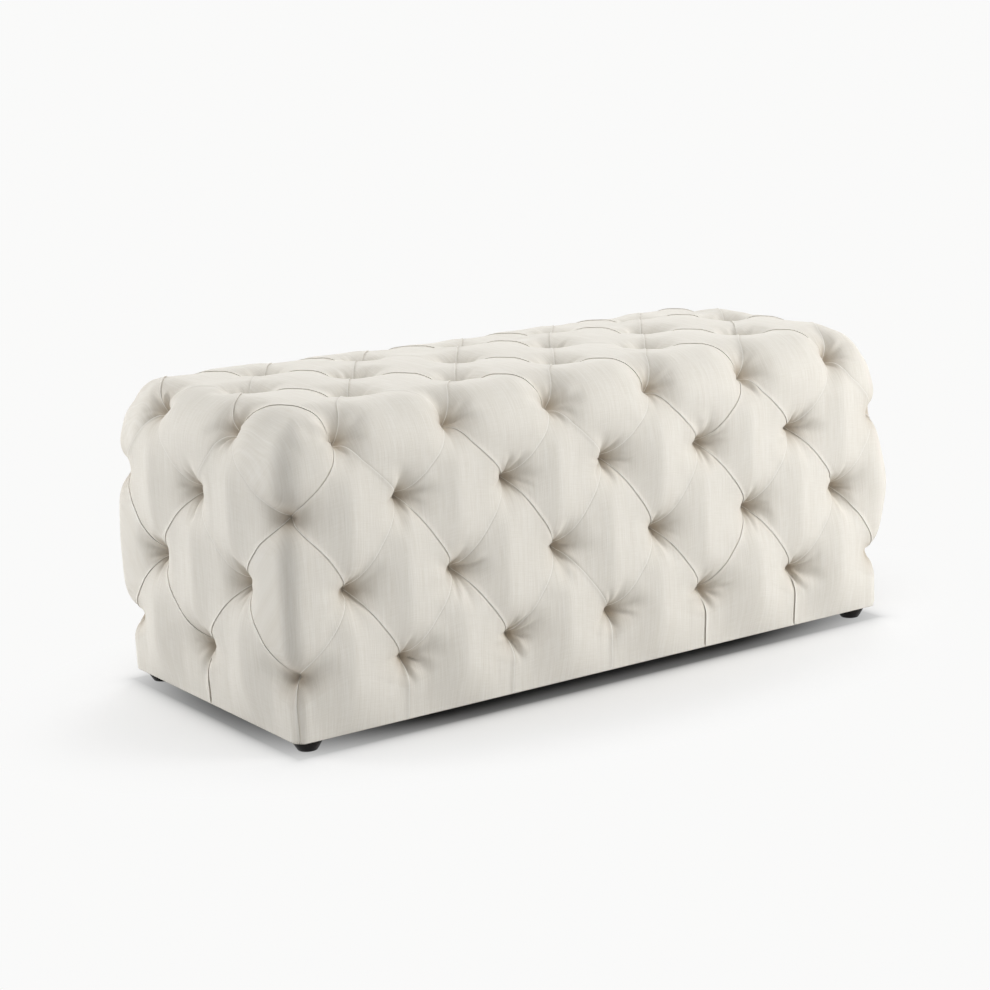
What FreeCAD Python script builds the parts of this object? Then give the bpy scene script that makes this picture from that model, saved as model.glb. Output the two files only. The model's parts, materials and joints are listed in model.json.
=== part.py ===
import FreeCAD, Part
import os

from FreeCAD import Placement, Rotation, Vector

# A long upholstered bench, tufted all over: top, front, back and both ends.
# Units are millimetres. +X runs along the length, +Y to the back, +Z up.
# The origin is on the floor, at the centre of the plan.

# Overall body, measured at the hem, the lower edge of the fabric
hem_length = 1050.0
hem_depth = 494.0
foot_gap = 20.0            # from the floor to the underside of the body
flat_top = 430.0           # from the underside to the top, before it is crowned

# Tufting: whole pitches along and across, and the heights of the rows on the walls
pitches_along = 6
pitches_across = 2
row_heights = [84.0, 196.0, 308.0]
edge_drop = 38.0           # row of the top edge, below the flat top
pit = 20.0                 # how deep a tuft is sewn in
front_edge_in = 26.0       # top edge tufts, in from the long walls
end_edge_in = 38.0         # top edge tufts, in from the ends
corner_in = 17.0           # tufts of the upright corners, in from both walls

# Pillows between the tufts
wall_crown = 18.0          # how far a pillow stands proud of its wall
top_crown = 18.0           # the same on the top
upright_crown = 4.0        # pillows on the upright corners, past both of their walls
top_edge_in = 8.0          # pillows along the top edges are drawn in from both faces
top_corner_in = 20.0       # and the three-sided pillow on each top corner from all three
hem_corner_in = 10.0       # so is the hem, at each corner
seam_rise = 26.0           # how far a fold rises between two tufts of a wall
top_seam_rise = 30.0       # the same for a fold on the top or over its edge
pleat_rise = 8.0           # the same for the straight pleats that run to the hem
fold_flatness = 3.6        # 2 is a round fold, more is flatter between steeper ends
fold_steps = 4             # straight pieces in one fold
pillow_levels = [0.0, 0.24, 0.58]   # nested outlines, as shares of the way to the crown

# Layers behind the tufts, as distances in from the hem planes and the flat top
cover_inset = 30.0         # back of the wadding
cover_chamfer = 24.0       # the wadding is thicker along the edges
wall_foam = 22.0
seat_foam = 30.0
panel_thickness = 12.0
deck_thickness = 15.0
frame_bevel = 10.0         # eased outer edges of the box

# Base frame under the box
base_inset = 14.0
base_thickness = 24.0
base_width = 72.0

# Battens inside the box
post_across = 20.0         # along the bench, so that it clears the first tie
post_deep = 45.0
stud_width = 28.0
stud_deep = 34.0
stud_place = 131.25        # from the middle, half way between two columns of ties
rail_height = 36.0
rail_deep = 16.0           # clear of the staples under the deck

# Ties and what they pass through
tie_width = 2.0
tie_hole = 5.0
staple_length = 11.0
staple_width = 1.3
staple_height = 0.8

# Underside
fold_start = 3.0           # where the fabric lies flat under the body
hem_fold = 44.0            # how far the fabric is turned under
fabric_thickness = 1.0
dust_cover_inset = 27.0
dust_cover_thickness = 0.6
hem_staple_pitch = 62.0
dust_staple_pitch = 78.0

# Feet
foot_inset = 32.0
foot_top_diameter = 44.0
foot_bottom_diameter = 29.0
foot_band = 4.0            # straight band at the top of the foot
foot_clearance = 4.0       # from a foot to the dust cover
bolt_diameter = 8.0
bolt_in_foot = 12.0
bolt_above_nut = 2.0
nut_barrel_diameter = 10.6
nut_barrel_length = 9.0
nut_flange_diameter = 24.0
nut_flange_thickness = 1.6
nut_room = 1.0             # left in the wadding round the flange and over the bolt

# Brads that hold the glued frame together
brad_width = 1.6
brad_length = 32.0
brad_pitch = 150.0
base_brad_length = 50.0

# Places that follow from the sizes above
half_length = hem_length / 2
half_depth = hem_depth / 2
columns = 2 * pitches_along
lines = 2 * pitches_across
top_row = len(row_heights) + 1
top_z = foot_gap + flat_top
base_top = foot_gap + base_thickness
panel_out = cover_inset + wall_foam
panel_in = panel_out + panel_thickness
deck_top = top_z - cover_inset - seat_foam
deck_under = deck_top - deck_thickness
fold_under = foot_gap - fabric_thickness
foot_top = fold_under
dust_under = fold_under - dust_cover_thickness


def side(index, count):
    """-1 on the first line of a grid, 1 on the last, 0 between."""
    if index == 0:
        return -1
    return 1 if index == count else 0


def outward(column, line, row):
    """The way out of the body at a place of the tufting grid."""
    up = 1 if row == top_row else 0
    return Vector(side(column, columns), side(line, lines), up)


def has_tuft(column, line, row):
    """Tufts take every other place of the grid, so that the pillows are diamonds."""
    return (column + line + row) % 2 == 1


def grid_point(column, line, row):
    """A place of the tufting grid on the plain box: row 0 is the hem, the last row the top."""
    x = -half_length + hem_length * column / columns
    y = -half_depth + hem_depth * line / lines
    heights = [0.0] + row_heights + [flat_top]
    return Vector(x, y, foot_gap + heights[row])


def tuft(column, line, row):
    """The bottom of a tuft, or the place where a pleat meets the hem."""
    point = grid_point(column, line, row)
    out = outward(column, line, row)
    if row == 0:
        return point - out * hem_corner_in if out.x and out.y else point
    if row == top_row and (out.x or out.y):
        return point - Vector(out.x * end_edge_in, out.y * front_edge_in, edge_drop)
    if out.x and out.y:
        return point - out * corner_in
    return point - out * pit


def crest(column, line, row):
    """The highest point of the pillow centred on a place of the grid."""
    out = outward(column, line, row)
    walls = int(abs(out.x) + abs(out.y))
    if row == top_row:
        drawn_in = (-top_crown, top_edge_in, top_corner_in)[walls]
    else:
        drawn_in = (0.0, -wall_crown, -upright_crown)[walls]
    return grid_point(column, line, row) - out * drawn_in


def fold(start, end):
    """Points along the fold between two places, without the last: it rises between them."""
    first, last = tuft(*start), tuft(*end)
    on_hem = (start[2] == 0) + (end[2] == 0)
    rise = (seam_rise, pleat_rise, 0.0)[on_hem]
    if start[2] == top_row or end[2] == top_row:
        rise = top_seam_rise
    out = (outward(*start).normalize() + outward(*end).normalize()).normalize()
    points = []
    for step in range(fold_steps):
        share = step / fold_steps
        lift = rise * (1 - abs(2 * share - 1) ** fold_flatness)
        points.append(first + (last - first) * share + out * lift)
    return points


def facet(*corners):
    return Part.Face(Part.makePolygon(list(corners) + [corners[0]]))


def pillow(places, centre):
    """The facets of one pillow: nested outlines that round over to its crest."""
    outline = []
    for start, end in zip(places, places[1:] + places[:1]):
        outline += fold(start, end)
    top = crest(*centre)
    out = outward(*centre).normalize()
    rings = []
    for level in pillow_levels:
        ring = []
        for point in outline:
            reach = top - point
            swell = out * reach.dot(out) * level * (1 - level)
            ring.append(point + reach * level + swell)
        rings.append(ring)
    facets = []
    for lower, upper in zip(rings, rings[1:]):
        for here in range(len(lower)):
            after = (here + 1) % len(lower)
            facets.append(facet(lower[here], lower[after], upper[after]))
            facets.append(facet(lower[here], upper[after], upper[here]))
    last = rings[-1]
    for here in range(len(last)):
        facets.append(facet(last[here], last[(here + 1) % len(last)], top))
    return facets


def side_tufts(column, line, row):
    """The tufts to the right and left of a pillow on a wall or an upright corner."""
    if side(column, columns) and side(line, lines):
        inner_column = 1 if column == 0 else columns - 1
        inner_line = 1 if line == 0 else lines - 1
        return [(inner_column, line, row), (column, inner_line, row)]
    if side(column, columns):
        return [(column, line + 1, row), (column, line - 1, row)]
    return [(column + 1, line, row), (column - 1, line, row)]


def wall_pillows(column, line):
    """The pillows of one upright strip of a wall or corner, from the hem to the top edge."""
    facets = []
    inner_column = min(max(column, 1), columns - 1)
    inner_line = min(max(line, 1), lines - 1)
    on_corner = side(column, columns) and side(line, lines)
    for row in range(1, top_row + 1):
        if has_tuft(column, line, row):
            continue
        right, left = side_tufts(column, line, row)
        above = (column, line, row + 1)
        below = [(column, line, row - 1)]
        if row == 1:
            below = [(left[0], left[1], 0), (right[0], right[1], 0)]
        if row == top_row and on_corner:
            facets += pillow(below + [right, left], (column, line, row))
            continue
        if row == top_row:
            above = (inner_column, inner_line, row)
        facets += pillow(below + [right, above, left], (column, line, row))
    return facets


def top_pillows():
    facets = []
    for line in range(1, lines):
        for column in range(1, columns):
            if has_tuft(column, line, top_row):
                continue
            places = [(column, line - 1), (column + 1, line), (column, line + 1), (column - 1, line)]
            facets += pillow([place + (top_row,) for place in places], (column, line, top_row))
    return facets


def rim_places():
    """The grid places round the edge of the plan, in order."""
    places = [(column, 0) for column in range(columns)]
    places += [(columns, line) for line in range(lines)]
    places += [(column, lines) for column in range(columns, 0, -1)]
    places += [(0, line) for line in range(lines, 0, -1)]
    return places


def hem_line():
    """The closed hem, with the same straight pieces as the pillows that meet it."""
    pleats = [place + (0,) for place in rim_places() if has_tuft(*place, 1)]
    points = []
    for start, end in zip(pleats, pleats[1:] + pleats[:1]):
        points += fold(start, end)
    return Part.makePolygon(points + [points[0]])


def plan_box(inset, low, high):
    """A box over the whole plan, drawn in from the hem planes on all four sides."""
    corner = Vector(inset - half_length, inset - half_depth, low)
    return Part.makeBox(hem_length - 2 * inset, hem_depth - 2 * inset, high - low, corner)


def bevelled(box, size):
    """The box with its top edges and upright edges cut off at 45 degrees."""
    edges = [edge for edge in box.Edges if edge.BoundBox.ZMax > box.BoundBox.ZMax - 1]
    return box.makeChamfer(size, edges)


def cover_cavity():
    return bevelled(plan_box(cover_inset, base_top, top_z - cover_inset), cover_chamfer)


def frame_envelope():
    return bevelled(plan_box(panel_out, base_top, deck_top), frame_bevel)


def tufted_cover():
    """The fabric with its wadding: tufted outside, plain inside, open below."""
    facets = []
    for column, line in rim_places():
        facets += wall_pillows(column, line)
    facets += top_pillows()
    rooms = [plan_box(base_inset, foot_gap, base_top)] + at_feet(nut_recess())
    hollow = cover_cavity().fuse(rooms).removeSplitter()
    for face in hollow.Faces:
        if face.BoundBox.ZMax > foot_gap + 1:
            facets.append(face)
        else:
            facets.append(Part.Face([hem_line(), face.OuterWire]))
    cover = Part.Solid(Part.Shell(facets))
    if cover.Volume < 0:
        cover.reverse()
    return cover


def tuft_places():
    """Every tuft of the walls and the top."""
    places = []
    for column, line in rim_places():
        for row in range(1, top_row + 1):
            if has_tuft(column, line, row):
                places.append((column, line, row))
    for line in range(1, lines):
        for column in range(1, columns):
            if has_tuft(column, line, top_row):
                places.append((column, line, top_row))
    return places


def on_edge(place):
    """True for a tuft on an edge or corner of the body, whose tie is slanted."""
    out = outward(*place)
    return abs(out.x) + abs(out.y) + abs(out.z) > 1


def tie_span(place):
    """How far below its tuft a tie starts and ends, along its own line."""
    out = outward(*place)
    depths = (grid_point(*place) - tuft(*place))
    if not on_edge(place):
        end = panel_in - pit
        if place[2] == top_row:
            end = top_z - deck_under - pit
        return cover_inset - pit, end
    sunk = abs(depths.x) * abs(out.x) + abs(depths.y) * abs(out.y) + abs(depths.z) * abs(out.z)
    frame_edge = 2 * panel_out
    if place[2] == top_row:
        frame_edge = panel_out + top_z - deck_top
    start = (2 * cover_inset + cover_chamfer - sunk) / 2 ** 0.5
    end = (frame_edge + frame_bevel - sunk) / 2 ** 0.5
    return start, end


def tie_frame(place):
    """The way in along a tie, and the way that its staple lies."""
    inward = outward(*place).normalize() * -1
    across = Vector(1, 0, 0)
    if place[2] != top_row:
        across = Vector(0, 0, 1)
    elif outward(*place).x:
        across = Vector(0, 1, 0)
    return inward, across


def bar(place, start, end, width, length):
    """A bar along a tie's line, from start to end below its tuft; length is across the line."""
    inward, across = tie_frame(place)
    box = Part.makeBox(length, width, end - start, Vector(-length / 2, -width / 2, start))
    turn = Rotation(across, Vector(0, 0, 0), inward, "ZXY")
    box.Placement = Placement(tuft(*place), turn)
    return box


def tie(place):
    start, end = tie_span(place)
    if on_edge(place):
        end -= staple_height
    return bar(place, start, end, tie_width, tie_width)


def tie_staple(place):
    end = tie_span(place)[1]
    start = end - staple_height if on_edge(place) else end
    return bar(place, start, start + staple_height, staple_width, staple_length)


def tie_channel(place):
    """Room for a tie in the foam and the panels, and for its staple on a bevelled edge."""
    start, end = tie_span(place)
    if not on_edge(place):
        return bar(place, start, end, tie_hole, tie_hole)
    return bar(place, start, end, tie_hole, staple_length + 1)


def tie_channels():
    return Part.makeCompound([tie_channel(place) for place in tuft_places()])


def tuft_ties():
    return [tie(place) for place in tuft_places()]


def tie_staples():
    return [tie_staple(place) for place in tuft_places()]


def whole(shape):
    """The single solid of a result that comes wrapped in a compound."""
    solid = shape.Solids[0]
    return solid.removeSplitter() if len(shape.Solids) == 1 else shape


def foam_pieces(channels):
    """One slab for the seat and one for each wall, cut to the room between wadding and frame."""
    room = cover_cavity().cut(frame_envelope())
    tall = deck_top - base_top
    long_slab = Part.makeBox(hem_length, panel_out, tall)
    long_slab.translate(Vector(-half_length, 0, base_top))
    end_slab = Part.makeBox(panel_out, hem_depth - 2 * panel_out, tall)
    end_slab.translate(Vector(0, panel_out - half_depth, base_top))
    cutters = {
        "seat_foam": plan_box(0, deck_top, top_z),
        "front_foam": long_slab.translated(Vector(0, -half_depth, 0)),
        "back_foam": long_slab.translated(Vector(0, half_depth - panel_out, 0)),
        "left_end_foam": end_slab.translated(Vector(-half_length, 0, 0)),
        "right_end_foam": end_slab.translated(Vector(half_length - panel_out, 0, 0)),
    }
    return {name: whole(room.common(cutter).cut(channels)) for name, cutter in cutters.items()}


def panels(channels):
    """The plywood box: deck, two long walls and two ends between them."""
    envelope = frame_envelope()
    tall = deck_under - base_top
    long_wall = Part.makeBox(hem_length, panel_thickness, tall)
    long_wall.translate(Vector(-half_length, 0, base_top))
    end_wall = Part.makeBox(panel_thickness, hem_depth - 2 * panel_in, tall)
    end_wall.translate(Vector(0, panel_in - half_depth, base_top))
    cutters = {
        "deck_panel": plan_box(0, deck_under, top_z),
        "front_panel": long_wall.translated(Vector(0, panel_out - half_depth, 0)),
        "back_panel": long_wall.translated(Vector(0, half_depth - panel_in, 0)),
        "left_end_panel": end_wall.translated(Vector(panel_out - half_length, 0, 0)),
        "right_end_panel": end_wall.translated(Vector(half_length - panel_in, 0, 0)),
    }
    return {name: whole(envelope.common(cutter).cut(channels)) for name, cutter in cutters.items()}


def battens():
    """Posts, studs, top rails and deck bearers inside the plywood box."""
    inside_x = half_length - panel_in
    inside_y = half_depth - panel_in
    tall = deck_under - base_top
    pieces = {}
    for along, x_name in ((-1, "left"), (1, "right")):
        for across, y_name in ((-1, "front"), (1, "back")):
            post = Part.makeBox(post_across, post_deep, tall, Vector(0, 0, base_top))
            post_x = inside_x - post_across if along > 0 else -inside_x
            post_y = inside_y - post_deep if across > 0 else -inside_y
            pieces[y_name + "_" + x_name + "_post"] = post.translated(Vector(post_x, post_y, 0))
            stud = Part.makeBox(stud_width, stud_deep, tall, Vector(-stud_width / 2, 0, base_top))
            stud_y = inside_y - stud_deep if across > 0 else -inside_y
            pieces[y_name + "_" + x_name + "_stud"] = stud.translated(
                Vector(along * stud_place, stud_y, 0))
        bearer = Part.makeBox(stud_width, 2 * (inside_y - stud_deep), rail_height)
        corner = Vector(-stud_width / 2, stud_deep - inside_y, deck_under - rail_height)
        pieces[x_name + "_deck_bearer"] = bearer.translated(
            corner + Vector(along * stud_place, 0, 0))
        rail = Part.makeBox(rail_deep, 2 * (inside_y - post_deep), rail_height)
        rail_x = inside_x - rail_deep if along > 0 else -inside_x
        pieces[x_name + "_top_rail"] = rail.translated(
            Vector(rail_x, post_deep - inside_y, deck_under - rail_height))
    return pieces


def base_frame():
    """Four flat boards and two cross boards, which the box stands on and the feet bolt into."""
    long_board = Part.makeBox(hem_length - 2 * base_inset, base_width, base_thickness)
    long_board.translate(Vector(base_inset - half_length, 0, foot_gap))
    clear = hem_depth - 2 * (base_inset + base_width)
    end_board = Part.makeBox(base_width, clear, base_thickness)
    end_board.translate(Vector(0, -clear / 2, foot_gap))
    cross_board = Part.makeBox(base_width, clear, base_thickness)
    cross_board.translate(Vector(-base_width / 2, -clear / 2, foot_gap))
    return {
        "front_base_rail": long_board.translated(Vector(0, base_inset - half_depth, 0)),
        "back_base_rail": long_board.translated(Vector(0, half_depth - base_inset - base_width, 0)),
        "left_base_rail": end_board.translated(Vector(base_inset - half_length, 0, 0)),
        "right_base_rail": end_board.translated(Vector(half_length - base_inset - base_width, 0, 0)),
        "left_cross_board": cross_board.translated(Vector(-stud_place, 0, 0)),
        "right_cross_board": cross_board.translated(Vector(stud_place, 0, 0)),
    }


def corner_signs():
    return [(along, across) for across in (-1, 1) for along in (-1, 1)]


def at_feet(shape):
    """One copy of a shape for each foot."""
    x = half_length - foot_inset
    y = half_depth - foot_inset
    return [shape.translated(Vector(along * x, across * y, 0)) for along, across in corner_signs()]


def revolved(profile):
    """A solid turned about Z from (radius, height) points."""
    points = [Vector(radius, 0, height) for radius, height in profile]
    face = Part.Face(Part.makePolygon(points + [points[0]]))
    return face.revolve(Vector(0, 0, 0), Vector(0, 0, 1), 360)


def foot():
    """A squat turned foot: a taper under a straight band, bored for its bolt."""
    top_radius = foot_top_diameter / 2
    turned = revolved([(0, 0), (foot_bottom_diameter / 2, 0), (top_radius, foot_top - foot_band),
                       (top_radius, foot_top), (0, foot_top)])
    return turned.cut(foot_bolt())


def foot_bolt():
    """The threaded rod that joins a foot to the nut in the base frame."""
    low = foot_top - bolt_in_foot
    high = base_top + bolt_above_nut
    return Part.makeCylinder(bolt_diameter / 2, high - low, Vector(0, 0, low))


def tee_nut():
    """A flanged nut, pressed into the base frame from above."""
    bore = bolt_diameter / 2
    barrel = nut_barrel_diameter / 2
    flange = nut_flange_diameter / 2
    low = base_top - nut_barrel_length
    seat = base_top
    high = seat + nut_flange_thickness
    return revolved([(bore, low), (barrel, low), (barrel, seat), (flange, seat),
                     (flange, high), (bore, high)])


def nut_recess():
    """The room that the flange and the end of the bolt press into the wadding."""
    reach = nut_flange_diameter / 2 + nut_room
    high = max(nut_flange_thickness, bolt_above_nut) + nut_room
    return Part.makeBox(2 * reach, 2 * reach, high, Vector(-reach, -reach, base_top))


def foot_bore():
    """The hole in the base frame for a bolt and the barrel of its nut."""
    return Part.makeCylinder(nut_barrel_diameter / 2, base_thickness, Vector(0, 0, foot_gap))


def bolt_slit():
    """The square cut in the turned fabric that lets a bolt through."""
    corner = Vector(-bolt_diameter / 2, -bolt_diameter / 2, fold_under)
    return Part.makeBox(bolt_diameter, bolt_diameter, fabric_thickness, corner)


def turned_hem():
    """The fabric turned under the base frame, in four strips."""
    inner = fold_start + hem_fold
    long_strip = Part.makeBox(hem_length - 2 * fold_start, hem_fold, fabric_thickness)
    long_strip.translate(Vector(fold_start - half_length, 0, fold_under))
    end_strip = Part.makeBox(hem_fold, hem_depth - 2 * inner, fabric_thickness)
    end_strip.translate(Vector(0, inner - half_depth, fold_under))
    return [
        long_strip.translated(Vector(0, fold_start - half_depth, 0)),
        long_strip.translated(Vector(0, half_depth - inner, 0)),
        end_strip.translated(Vector(fold_start - half_length, 0, 0)),
        end_strip.translated(Vector(half_length - inner, 0, 0)),
    ]


def dust_cover():
    """The black cloth that closes the underside, with its corners folded back from the feet."""
    sheet = plan_box(dust_cover_inset, dust_under, fold_under)
    reach = 2 * (foot_inset + foot_top_diameter / 2 + foot_clearance)
    corner = Vector(-reach / 2, -reach / 2, dust_under)
    notch = Part.makeBox(reach, reach, dust_cover_thickness, corner)
    corners = [notch.translated(Vector(along * half_length, across * half_depth, 0))
               for along, across in corner_signs()]
    return sheet.cut(Part.makeCompound(corners))


def staple_row(inset, pitch, face_z):
    """Staples round the underside, lying on a face, in from the hem planes."""
    x = half_length - inset
    y = half_depth - inset
    clear = foot_inset + foot_top_diameter / 2 + staple_length
    staples = []
    for across in (-1, 1):
        count = int((hem_length - 2 * clear) / pitch) + 1
        for index in range(count):
            place = (index - (count - 1) / 2) * pitch
            box = Part.makeBox(staple_length, staple_width, staple_height)
            centre = Vector(-staple_length / 2, -staple_width / 2, face_z - staple_height)
            staples.append(box.translated(centre + Vector(place, across * y, 0)))
    for along in (-1, 1):
        count = int((hem_depth - 2 * clear) / pitch) + 1
        for index in range(count):
            place = (index - (count - 1) / 2) * pitch
            box = Part.makeBox(staple_width, staple_length, staple_height)
            centre = Vector(-staple_width / 2, -staple_length / 2, face_z - staple_height)
            staples.append(box.translated(centre + Vector(along * x, place, 0)))
    return staples


def hem_staples():
    inset = (base_inset + dust_cover_inset) / 2
    return staple_row(inset, hem_staple_pitch, fold_under)


def dust_cover_staples():
    inset = dust_cover_inset + staple_width * 3
    return staple_row(inset, dust_staple_pitch, dust_under)


def deck_brads():
    """Brads down through the deck into the top edges of the long walls."""
    y = half_depth - (panel_out + panel_in) / 2
    count = int((hem_length - 2 * panel_in) / brad_pitch) + 1
    brads = []
    for across in (-1, 1):
        for index in range(count):
            x = (index - (count - 1) / 2) * brad_pitch
            corner = Vector(x - brad_width / 2, across * y - brad_width / 2, deck_top - brad_length)
            brads.append(Part.makeBox(brad_width, brad_width, brad_length, corner))
    return brads


def base_brads():
    """Brads up through the base frame into the posts and studs."""
    post_x = half_length - panel_in - post_across / 2
    y = half_depth - (panel_in + base_inset + base_width) / 2
    brads = []
    for along, across in corner_signs():
        for x in (along * post_x, along * stud_place):
            corner = Vector(x - brad_width / 2, across * y - brad_width / 2, foot_gap)
            brads.append(Part.makeBox(brad_width, brad_width, base_brad_length, corner))
    return brads


def cut_group(piece, tools):
    """A piece with holes for the fasteners that reach it."""
    near = [tool for tool in tools if piece.BoundBox.intersect(tool.BoundBox)]
    if not near:
        return piece
    return whole(piece.cut(Part.makeCompound(near)))


def bench():
    channels = tie_channels()
    nodes = {"tufted_cover": tufted_cover()}
    nodes.update(foam_pieces(channels))
    nodes.update(panels(channels))
    nodes.update(battens())
    nodes.update(base_frame())

    base_pins = base_brads()
    deck_pins = deck_brads()
    for name in list(nodes):
        if name.endswith(("_rail", "_post", "_stud", "_board")):
            nodes[name] = cut_group(nodes[name], base_pins)
        if name.endswith("_panel"):
            nodes[name] = cut_group(nodes[name], deck_pins)
        if name.endswith("_base_rail"):
            nodes[name] = cut_group(nodes[name], at_feet(foot_bore()))

    bolts = at_feet(foot_bolt())
    nodes["feet"] = Part.makeCompound(at_feet(foot()))
    nodes["foot_bolts"] = Part.makeCompound(bolts)
    nodes["tee_nuts"] = Part.makeCompound(at_feet(tee_nut()))
    slits = at_feet(bolt_slit())
    nodes["turned_hem"] = Part.makeCompound([cut_group(strip, slits) for strip in turned_hem()])
    nodes["dust_cover"] = dust_cover()
    nodes["hem_staples"] = Part.makeCompound(hem_staples())
    nodes["dust_cover_staples"] = Part.makeCompound(dust_cover_staples())
    nodes["tuft_ties"] = Part.makeCompound(tuft_ties())
    nodes["tie_staples"] = Part.makeCompound(tie_staples())
    nodes["deck_brads"] = Part.makeCompound(deck_pins)
    nodes["base_brads"] = Part.makeCompound(base_pins)
    return nodes


os.makedirs("parts", exist_ok=True)
for node_name, node_shape in bench().items():
    node_shape.exportStep("parts/" + node_name + ".step")
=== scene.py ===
import json

import bmesh
import bpy
import numpy as np
from mathutils import Matrix, Vector

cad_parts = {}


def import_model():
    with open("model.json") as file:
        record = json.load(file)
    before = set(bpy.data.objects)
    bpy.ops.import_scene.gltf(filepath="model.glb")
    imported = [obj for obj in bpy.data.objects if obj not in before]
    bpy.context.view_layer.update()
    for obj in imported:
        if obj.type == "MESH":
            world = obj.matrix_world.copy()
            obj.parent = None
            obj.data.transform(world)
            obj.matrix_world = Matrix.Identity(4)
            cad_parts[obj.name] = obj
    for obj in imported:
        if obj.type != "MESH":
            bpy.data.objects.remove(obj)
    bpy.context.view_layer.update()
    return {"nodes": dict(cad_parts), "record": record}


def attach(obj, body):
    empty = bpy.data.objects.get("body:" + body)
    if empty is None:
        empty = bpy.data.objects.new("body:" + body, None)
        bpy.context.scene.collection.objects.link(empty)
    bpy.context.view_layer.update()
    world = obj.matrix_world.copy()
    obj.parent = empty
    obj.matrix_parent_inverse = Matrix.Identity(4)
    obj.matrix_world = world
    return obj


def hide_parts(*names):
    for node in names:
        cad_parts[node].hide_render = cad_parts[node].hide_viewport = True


# A tufted upholstered bench. Lengths are in millimetres up to the last step of each
# mesh, where they become metres. The origin is on the floor at the centre of the plan.
MM = 0.001

# The plain padded body under the tufting
HEM_LENGTH = 1050.0
HEM_DEPTH = 494.0
UNDERSIDE = 20.0
TOP = 450.0
TOP_RADIUS = 58.0           # rounding along the top edges
UPRIGHT_RADIUS = [20.0, 18.0, 19.0, 24.0, 44.0]    # of the upright edges, row by row

# The tufting grid: every other place holds a tuft, the others the crest of a pillow
COLUMNS = 12
LINES = 4
ROW_HEIGHTS = [0.0, 84.0, 196.0, 308.0, 430.0]
TOP_ROW = len(ROW_HEIGHTS) - 1
PIT = 20.0                  # how deep a tuft is sewn into a wall
TOP_PIT = 30.0              # and into the top
CORNER_IN = 17.0            # and into an upright corner
EDGE_DROP = 35.0            # tufts on the long top edges sit this far down
FRONT_EDGE_IN = 26.0        # and this far in
END_EDGE_DROP = 26.0        # the same for the short ones
END_EDGE_IN = 26.0
END_LINE_SHIFT = {1: 30.0, 3: -2.0}    # the ends' top tufts sit off their lines
TUFT_SLIDE = 7.0            # the threads pull a little sideways, away from the near corner

# Heights over the plain body
WALL_CROWN = 5.5
UPRIGHT_CROWN = 9.0
EDGE_CROWN = 13.0
CORNER_CROWN = -2.0
TOP_CROWN = 16.0
SEAM_LEVEL = 9.5
TOP_SEAM_LEVEL = 13.0
PLEAT_LEVEL = -0.5          # of the straight pleats that run to the hem
SEAM_VALLEY = 0.15          # 0 is level across a seam, 1 a full valley
SEAM_FLATNESS = 2.6
NOSE = 8.0                  # how the pillows round over towards each tuft
FUNNEL = 14.0               # the last sharp dip at the thread
FUNNEL_WIDTH = 13.0
PULL_END = (0.6, 1.0)       # share of the way from a tuft to a crest, over which its pull ends
WADDING = 28.5              # the fabric stays this near the plain body, clear of the foam
WADDING_GIVE = 1.5
RIDGE = 13.0                # the wall pillows are drawn into a soft upright ridge
RIDGE_REACH = 60.0
RIDGE_ROUND = 5.0

# Where the bench is fuller or emptier
BACK_DROP = 13.0            # the top is less full along the back edge
BACK_SEAM_SHARE = 0.75      # of that for the seams there
BACK_COLUMNS = 7            # from the near end to where it is so in full
FAR_SWELL = 12.0            # the front's far corner is fuller than the near one

# Unevenness of hand work
TUFT_SHIFT = 2.5
CREST_SHIFT = 5.0
CREST_CHANGE = 1.5

# Lapped pleats: the upper pillow's edge is drawn over the seam, the lower one's tucked in
LAP = 0.8
LAP_RAISE = 1.0
LAP_DEPTH = 0.8
LAP_WIDTH = 1.5
LAP_SWELL = 3.5             # width of the rise behind the edge
TUCK = 0.2
TUCK_DEPTH = 0.6
LAP_START = (2.0, 12.0)     # from a tuft, over which a lap grows
LAP_LOW = (-1.0, 6.0)       # and above the hem
TURNED_SHARE = 0.2          # of the pleats are folded the other way
HEM_PLEAT = 2.0             # the pleats down to the hem stand out more

# Folds that run out of a tuft
FOLD_REACH = 80.0
FOLD_DEPTH = 4.2
FOLD_FANS = ((-38, 38, 4), (58, 122, 4), (142, 218, 3), (238, 302, 4))    # degrees, most folds
FOLD_SCATTER = 0.3          # of the angle between two folds
FOLD_BEND = 0.18            # radians over the reach below
BEND_REACH = 40.0
WIDEN_REACH = 35.0          # a fold starts at half its width and gains a whole one over this
DEPTH_SHARE = (0.4, 1.0)    # of the depth above
FULL_LENGTH = 0.4           # share of its length over which a fold stays deep
BESIDE = 1.9                # the ridge beside a fold, in widths of the fold
BESIDE_WIDTH = 1.3
BESIDE_HEIGHT = 0.5         # and in its depth
BROAD_SHARE = 0.35
BROAD_WIDTH = (5.0, 7.5)
BROAD_LENGTH = (50, 76)
FINE_WIDTH = (2.4, 3.6)
FINE_LENGTH = (28, 50)
FOLD_START = (3, 12)        # from the tuft, over which a fold deepens

# Painted shade and painted highlight in the cloth's colour
PAINTED_PIT_SHADE = (0.52, 0.43, 0.33, 1)    # painted shade: the cloth's colour is made darker and warmer in the tufts and seams
PAINTED_LIP_HIGHLIGHT = (0.9, 0.885, 0.85, 1)    # painted highlight: the colour is made paler along the folded edge of a pleat
# how strongly the painted highlight is laid on the lip of a pleat
PAINTED_LIP_LIGHT = 0.6
# how strongly painted shade is laid along every seam, and how far painted shade reaches out from a tuft
PAINTED_SEAM_SHADE = 0.2
PAINTED_SHADE_REACH = 16.0

# Mesh
CELLS = 26                  # along half a seam
SPREAD = 1.5                # rows crowd towards the seams
CRISP_ANGLE = 0.9           # radians between faces, from which an edge is drawn sharp
SKIN_WELD = 0.1             # points of the skin this near are one
FINE_WELD = 0.02

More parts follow.
